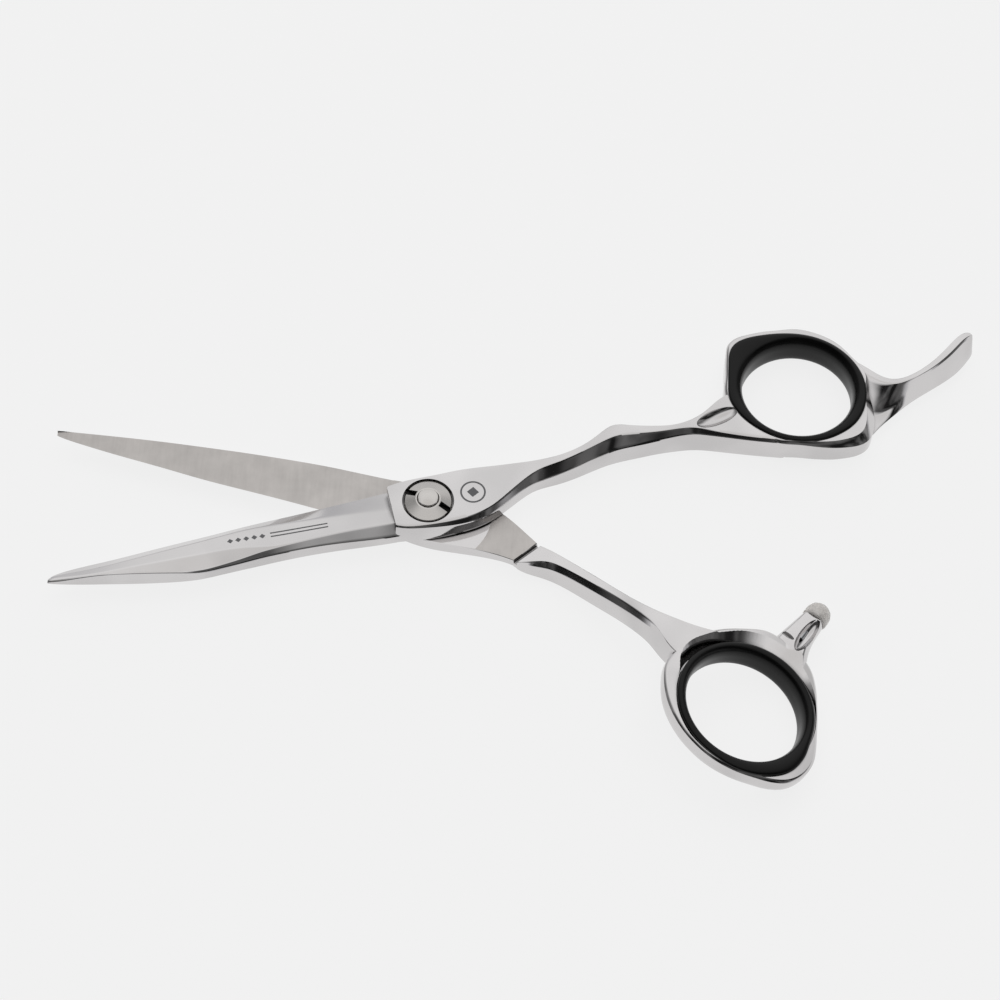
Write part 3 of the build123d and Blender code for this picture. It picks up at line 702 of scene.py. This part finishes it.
# stalk of the bumper, tapering from the ring: width across its heading, and heights
STALK_ANGLE = 56
BUMPER_PLACE = (70.8, -19.3, 4.6)
stalk_heading = Vector((cos(radians(STALK_ANGLE)), sin(radians(STALK_ANGLE)), 0))
stalk_side = Vector((sin(radians(STALK_ANGLE)), -cos(radians(STALK_ANGLE)), 0))
stalk_end = Vector((*BUMPER_PLACE[:2], 0)) - stalk_heading * 1.3
stalk_sections = []
for along, left, right, low, high in (
    (-11.5, 4.0, 5.6, 2.9, 6.1), (-8.6, 3.8, 4.1, 2.9, 6.3), (-6.2, 3.4, 3.0, 2.8, 6.5),
    (-4.0, 2.95, 2.5, 2.75, 6.6), (-1.8, 2.55, 2.3, 2.7, 6.6), (-0.3, 2.3, 2.2, 2.65, 6.6),
    (0.0, 2.15, 2.05, 2.8, 6.45),
):
    foot = stalk_end + stalk_heading * along
    stalk_sections.append([
        foot - stalk_side * left * 0.75 + UP * low, foot - stalk_side * left + UP * (low + 1.0),
        foot - stalk_side * left + UP * (high - 1.0), foot - stalk_side * left * 0.7 + UP * high,
        foot + stalk_side * right * 0.7 + UP * high, foot + stalk_side * right + UP * (high - 1.1),
        foot + stalk_side * right + UP * (low + 1.0), foot + stalk_side * right * 0.75 + UP * low,
    ])
stalk = to_object(forge(stalk_sections, {3: 0.5, 4: 0.5}, ends=0.9), "bumper_stalk", 3)

weld(thumb_half, [lower_blade, lower_ring, stalk], "UNION")

dish = bmesh.new()
bmesh.ops.create_circle(dish, cap_ends=True, cap_tris=True, segments=120, radius=DISH_RADIUS)
upper = bmesh.ops.extrude_face_region(dish, geom=dish.faces[:])["geom"]
top_corners = {g for g in upper if isinstance(g, bmesh.types.BMVert)}
for corner in dish.verts:
    turn = atan2(corner.co.y, corner.co.x)
    if corner.co.length < 1.0:
        corner.co.z = DISH_TOP if corner in top_corners else 1.0
    elif corner in top_corners:
        reach = eased(degrees(turn), [(angle, value) for angle, value, _ in thumb_dish])
        corner.co = (reach * cos(turn), reach * sin(turn), DISH_TOP)
    else:
        corner.co.z = eased(degrees(turn), [(angle, value) for angle, _, value in thumb_dish])
bmesh.ops.recalc_face_normals(dish, faces=dish.faces)
bmesh.ops.transform(dish, matrix=THUMB_RING, verts=dish.verts)
dish = to_object(dish, "dish_cut")

ring_hole = turned([(0, -12), (12.0, -12), (12.0, 12), (0, 12)])
bmesh.ops.transform(ring_hole, matrix=THUMB_RING, verts=ring_hole.verts)
ring_hole = to_object(ring_hole, "ring_hole_cut")

underside = turned([(0, -9), (13.1, -9), (13.1, -1.985), (0, -1.985)])
bmesh.ops.transform(underside, matrix=THUMB_RING, verts=underside.verts)
underside = to_object(underside, "underside_cut")

# the stalk has an oval hollow along its right shoulder, and a short nick where it leaves the ring
hollow_place = stalk_end - stalk_heading * 4.1 + stalk_side * 1.2 + UP * 6.95
stalk_recess = scoop(hollow_place, (3.9, 1.45, 2.0), STALK_ANGLE, "stalk_recess")
stalk_notch = scoop((65.2, -24.5, 6.7), (1.5, 0.45, 0.9), -38, "stalk_notch")

# holes for the stud and the bolt's head and square neck, and the bearing's pocket
stud_hole = to_object(turned([(0, -6), (0.92, -6), (0.92, 2), (0, 2)],
                             centre=tuple(stalk_end + UP * BUMPER_PLACE[2]),
                             axis=tuple(stalk_heading)), "stud_cut")
head_recess = to_object(turned([(0, -1), (4.42, -1), (4.42, 1.22), (0, 1.22)]), "head_cut")
lower_pocket = to_object(turned([(0, 3.2), (4.7, 3.2), (4.7, 4.4), (0, 4.4)]), "pocket_cut")
neck_hole = bmesh.new()
bmesh.ops.create_cube(neck_hole, size=1.0)
bmesh.ops.scale(neck_hole, vec=(4.24, 4.24, 12.0), verts=neck_hole.verts)
neck_hole = to_object(neck_hole, "neck_cut")
weld(thumb_half, [
    ring_hole, dish, underside, stalk_recess, stalk_notch, stud_hole, head_recess, lower_pocket, neck_hole,
], "DIFFERENCE")
thumb_half.name = "thumb_half_polished"
polish(thumb_half)
thumb_half.data.materials.append(steel)
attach(thumb_half, "thumb_side")
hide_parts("thumb_half")

# ---------------------------------------------------------------------------------------------
# Inserts: moulded black polymer sleeves with a soft rounded lip, pressed into each ring. The one in
# the finger ring has the blunt forward corner of its seat.
# ---------------------------------------------------------------------------------------------
finger_insert_reach = [
    (0, 12.9), (40, 12.4), (75, 12.3), (100, 12.6), (118, 13.4), (130, 14.4), (141, 15.2), (150, 14.9),
    (163, 13.7), (178, 13.2), (193, 13.4), (210, 13.0), (235, 12.4), (270, 12.3), (305, 12.7), (328, 13.1),
]


def finger_insert_section(angle):
    """Radius and height at an angle round the finger insert."""
    reach = eased(angle, finger_insert_reach)
    return [
        (10.42, 3.9), (10.42, 5.2), (10.75, 6.3), (11.45, 7.05), (reach - 0.6, 7.22), (reach, 6.9),
        (reach, 6.62), (11.66, 6.6), (11.66, 1.2), (12.1, 1.2), (12.1, 0.85), (11.8, 0.6), (11.4, 0.6),
        (10.7, 0.9), (10.42, 1.8),
    ]


LIP_CREASES = {5: 0.3, 6: 1, 7: 1, 8: 1, 9: 1, 10: 0.3}
finger_insert = ring_shell(finger_insert_section, LIP_CREASES)
bmesh.ops.translate(finger_insert, vec=(*FINGER_RING, 0), verts=finger_insert.verts)
finger_insert = to_object(finger_insert, "finger_insert_moulded", 2)

thumb_insert_reach = [
    (0, 12.75), (60, 12.75), (120, 12.75), (200, 12.75), (240, 12.85), (262, 13.4), (285, 14.0), (303, 14.2),
    (318, 13.7), (335, 12.85),
]


def thumb_insert_section(angle):
    """Radius and height at an angle round the thumb insert."""
    reach = eased(angle, thumb_insert_reach)
    return [
        (10.82, 0.0), (10.82, 1.0), (11.05, 2.0), (11.6, 2.7), (reach - 0.45, 2.75), (reach, 2.35),
        (reach, 2.06), (11.96, 2.04), (11.96, -2.0), (12.3, -2.02), (12.3, -2.3), (12.0, -2.6),
        (11.6, -2.6), (11.05, -2.3), (10.82, -1.5),
    ]


thumb_insert = ring_shell(thumb_insert_section, LIP_CREASES)
bmesh.ops.transform(thumb_insert, matrix=THUMB_RING, verts=thumb_insert.verts)
thumb_insert = to_object(thumb_insert, "thumb_insert_moulded", 2)


def finish(name, colour, metallic, roughness, grain):
    """Material of one colour, its roughness and tone varying a little over grains of that size (mm)."""
    material = bpy.data.materials.new(name)
    material.use_nodes = True
    nodes = material.node_tree
    body = nodes.nodes["Principled BSDF"]
    spot = add_node(nodes, "ShaderNodeTexCoord").outputs["Object"]
    noise = add_node(nodes, "ShaderNodeTexNoise", {"Vector": spot, "Scale": 1000.0 / grain, "Detail": 3.0})
    rough = add_node(nodes, "ShaderNodeMapRange", {
        "Value": noise.outputs["Fac"], "To Min": roughness * 0.8, "To Max": roughness * 1.2,
    })
    tone = add_node(nodes, "ShaderNodeMapRange", {
        "Value": noise.outputs["Fac"], "To Min": 0.94, "To Max": 1.06,
    })
    toned = add_node(nodes, "ShaderNodeMix", {
        "Factor": 1.0, "A": linear(colour), "B": tone.outputs["Result"],
    }, data_type="RGBA", blend_type="MULTIPLY")
    nodes.links.new(toned.outputs["Result"], body.inputs["Base Color"])
    nodes.links.new(rough.outputs["Result"], body.inputs["Roughness"])
    body.inputs["Metallic"].default_value = metallic
    return material


# black polymer out of a finely eroded mould, so that its highlights are broad and weak
black = finish("satin_black_moulded_polymer", "#060606", 0.0, 0.30, 0.15)
black.node_tree.nodes["Principled BSDF"].inputs["Specular IOR Level"].default_value = 0.22
for insert, node, body in (
    (finger_insert, "finger_insert", "finger_side"), (thumb_insert, "thumb_insert", "thumb_side"),
):
    polish(insert, 40.0)
    insert.data.materials.append(black)
    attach(insert, body)
    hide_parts(node)

# ---------------------------------------------------------------------------------------------
# Bumper: a small translucent silicone dome pushed over the head of a stud at the end of the stalk,
# so that the rings close quietly.
# ---------------------------------------------------------------------------------------------
bumper = to_object(turned([
    (0, -1.25), (1.95, -1.25), (2.32, -1.1), (2.42, -0.8), (2.36, -0.45), (2.42, 0.0), (2.3, 0.8),
    (1.95, 1.55), (1.35, 2.1), (0.65, 2.38), (0, 2.45),
], centre=BUMPER_PLACE, axis=tuple(stalk_heading), steps=64), "bumper_dome")
polish(bumper, 50.0)
# clear silicone clouded grey, which lets some of the table's light through and stays soft to the eye
silicone = finish("translucent_grey_silicone", "#E6E2DE", 0.0, 0.25, 0.5)
silicone.node_tree.nodes["Principled BSDF"].inputs["Transmission Weight"].default_value = 0.35
bumper.data.materials.append(silicone)
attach(bumper, "thumb_side")
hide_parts("bumper_pad")

# ---------------------------------------------------------------------------------------------
# Tension dial and pivot bolt: a coned stainless nut with two key slots, turned to a fine radial
# brushing, and the bolt's domed button through its middle.
# ---------------------------------------------------------------------------------------------
KEY_SLOT_SIZE = (2.5, 1.15, 2.0)
KEY_SLOT_PLACE = (3.65, 0, 7.75)
KEY_SLOT_ANGLES = (-24, 156)
nut = to_object(turned([
    (2.07, 6.46), (4.2, 6.46), (4.35, 6.6), (4.35, 7.15), (4.22, 7.3), (2.3, 8.15), (2.07, 8.15),
    (2.07, 6.46),
], steps=128), "tension_nut_brushed")
for angle in KEY_SLOT_ANGLES:
    key_slot = bmesh.new()
    bmesh.ops.create_cube(key_slot, size=1.0)
    bmesh.ops.scale(key_slot, vec=KEY_SLOT_SIZE, verts=key_slot.verts)
    bmesh.ops.translate(key_slot, vec=KEY_SLOT_PLACE, verts=key_slot.verts)
    bmesh.ops.rotate(key_slot, matrix=Matrix.Rotation(radians(angle), 3, "Z"), verts=key_slot.verts)
    weld(nut, [to_object(key_slot, "slot_cut")], "DIFFERENCE")
polish(nut, 20.0)
# stainless brushed on the lathe, whose fine circular lines draw the light out into two bright fans
brushed = finish("circular_brushed_stainless", "#C9C6C3", 1.0, 0.24, 0.3)
tree = brushed.node_tree
shader = tree.nodes["Principled BSDF"]
place = add_node(tree, "ShaderNodeTexCoord").outputs["Object"]
spot = add_node(tree, "ShaderNodeSeparateXYZ", {"Vector": place})
turned_y = add_node(tree, "ShaderNodeMath", {0: spot.outputs["Y"], 1: -1.0}, operation="MULTIPLY")
round_axis = add_node(tree, "ShaderNodeCombineXYZ", {"X": turned_y.outputs["Value"], "Y": spot.outputs["X"]})
lathe_lines = add_node(tree, "ShaderNodeVectorMath", {0: round_axis.outputs["Vector"]}, operation="NORMALIZE")
tree.links.new(lathe_lines.outputs["Vector"], shader.inputs["Tangent"])
shader.inputs["Anisotropic"].default_value = 0.8
# painted shade: the base colour goes almost black below 7.05 mm and back to full at 7.2 mm, in the key slots
# and the gap round the nut, where shade falls
low = add_node(tree, "ShaderNodeMapRange", {
    "Value": spot.outputs["Z"], "From Min": 7.05 * MM, "From Max": 7.2 * MM, "To Min": 0.02, "To Max": 1.0,
})
unshaded_colour = shader.inputs["Base Color"].links[0].from_socket
painted_slot_shade = add_node(tree, "ShaderNodeMix", {"Factor": 1.0, "A": unshaded_colour, "B": low.outputs["Result"]},
                 data_type="RGBA", blend_type="MULTIPLY")
tree.links.new(painted_slot_shade.outputs["Result"], shader.inputs["Base Color"])
nut.data.materials.append(brushed)
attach(nut, "tension_dial")
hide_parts("tension_nut")

bolt = to_object(turned([
    (0, 0), (4.2, 0), (4.4, 0.2), (4.4, 1.2), (2.0, 1.2), (2.0, 7.9), (1.9, 7.95), (1.9, 8.45),
    (1.8, 8.6), (1.35, 8.76), (0.7, 8.86), (0, 8.9),
]), "pivot_bolt_turned")
neck = bmesh.new()
bmesh.ops.create_cube(neck, size=1.0)
bmesh.ops.scale(neck, vec=(4.2, 4.2, 2.1), verts=neck.verts)
bmesh.ops.translate(neck, vec=(0, 0, 2.1), verts=neck.verts)
weld(bolt, [to_object(neck, "square_neck")], "UNION")
polish(bolt, 30.0)
# turned bolt steel with a light brushing, a little brighter than the nut around it
button_steel = finish("brushed_bolt_steel", "#CBC8C5", 1.0, 0.22, 0.2)
bolt.data.materials.append(button_steel)
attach(bolt, "thumb_side")
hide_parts("pivot_bolt")

# ---------------------------------------------------------------------------------------------
# Hidden hardware of the pivot and the bumper: hardened steel races and balls, a stamped brass cage,
# a sintered bronze bush, a polymer thrust washer, a dished spring of spring steel, and the stud.
# ---------------------------------------------------------------------------------------------
# hardened steel is ground almost to a mirror and slightly blue
hardened = finish("hardened_bearing_steel", "#C4C6C9", 1.0, 0.14, 0.4)
# rolled brass sheet keeps a soft yellow shine after stamping
brass = finish("stamped_brass", "#C9A45A", 1.0, 0.30, 0.3)
# sintered bronze is porous and holds oil, so it is brown and rather dull
bronze = finish("sintered_bronze", "#A9794B", 1.0, 0.42, 0.1)
# acetal is an off-white, slightly waxy polymer
washer = finish("white_acetal_washer", "#DEDCD4", 0.0, 0.40, 0.2)
# spring steel is tempered to a grey blue, with an even satin shine
spring = finish("blued_spring_steel", "#6E7480", 1.0, 0.28, 0.3)
for node, material, name in (
    ("upper_race", hardened, "hardware_steel"), ("lower_race", hardened, "hardware_steel"),
    ("bearing_balls", hardened, "hardware_steel"), ("bumper_stud", hardened, "hardware_steel"),
    ("ball_cage", brass, "cage_brass"), ("pivot_bush", bronze, "bush_bronze"),
    ("thrust_washer", washer, "washer_polymer"), ("disc_spring", spring, "hardware_steel"),
):
    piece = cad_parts[node]
    piece.data.materials.clear()
    piece.data.materials.append(material)

# ---------------------------------------------------------------------------------------------
# Marks on the finger half: plain laser-etched figures, a ring with a lozenge beside the nut, and
# five lozenges with a double line along the blade.
# ---------------------------------------------------------------------------------------------
# a laser leaves an oxide that is darker and far duller than the polish round it
etched = finish("laser_etched_steel", "#6A6A6C", 0.6, 0.55, 0.1)
MARK_TOP = 0.015
LOZENGE_RADIUS = 0.55
# distances along the row of marks, as parts of its length
LOZENGE_START = 0.03
LOZENGE_STEP = 0.078
LINE_MIDDLE = 0.70
LINE_LENGTH = 0.56
LINE_WIDTH = 0.28
LINE_OFFSET = 0.42
ROUND_MARK_PLACE = (8.1, 2.3)
ROUND_MARK_RADIUS = 2.35


def etch(figure, place, heading, name):
    """Lays a flat figure on the finger half at place, turned by heading degrees, as a thin plate."""
    bmesh.ops.rotate(figure, matrix=Matrix.Rotation(radians(heading), 3, "Z"), verts=figure.verts)
    bmesh.ops.translate(figure, vec=(*place, 0), verts=figure.verts)
    for corner in figure.verts:
        above = Vector((corner.co.x, corner.co.y, 20.0)) * MM
        _, spot, _, _ = finger_half.ray_cast(above, -UP)
        corner.co.z = spot.z / MM + MARK_TOP
    bmesh.ops.solidify(figure, geom=figure.faces[:], thickness=2 * MARK_TOP)
    bmesh.ops.recalc_face_normals(figure, faces=figure.faces)
    plate = to_object(figure, name)
    plate.data.materials.append(etched)
    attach(plate, "finger_side")


mark_start = Vector((-35.9, -9.9))
mark_end = Vector((-17.6, -5.3))
run = mark_end - mark_start
mark_heading = degrees(atan2(run.y, run.x))
for number in range(5):
    lozenge = bmesh.new()
    bmesh.ops.create_circle(lozenge, cap_ends=True, segments=4, radius=LOZENGE_RADIUS)
    along = LOZENGE_START + LOZENGE_STEP * number
    etch(lozenge, mark_start + run * along, mark_heading, f"blade_lozenge_{number + 1}")
for number, across in enumerate((LINE_OFFSET, -LINE_OFFSET), 1):
    line_figure = bmesh.new()
    bmesh.ops.create_grid(line_figure, x_segments=12, y_segments=1, size=0.5)
    bmesh.ops.scale(line_figure, vec=(LINE_LENGTH * run.length, LINE_WIDTH, 1), verts=line_figure.verts)
    bmesh.ops.translate(line_figure, vec=(0, across, 0), verts=line_figure.verts)
    etch(line_figure, mark_start + run * LINE_MIDDLE, mark_heading, f"blade_line_{number}")
outer_ring = bmesh.new()
bmesh.ops.create_circle(outer_ring, segments=64, radius=ROUND_MARK_RADIUS)
grown = bmesh.ops.extrude_edge_only(outer_ring, edges=outer_ring.edges[:])["geom"]
bmesh.ops.scale(outer_ring, vec=(0.86, 0.86, 1),
                verts=[g for g in grown if isinstance(g, bmesh.types.BMVert)])
etch(outer_ring, ROUND_MARK_PLACE, 0, "round_mark_ring")
mark_middle = bmesh.new()
bmesh.ops.create_circle(mark_middle, cap_ends=True, segments=4, radius=1.1)
etch(mark_middle, ROUND_MARK_PLACE, 0, "round_mark_lozenge")
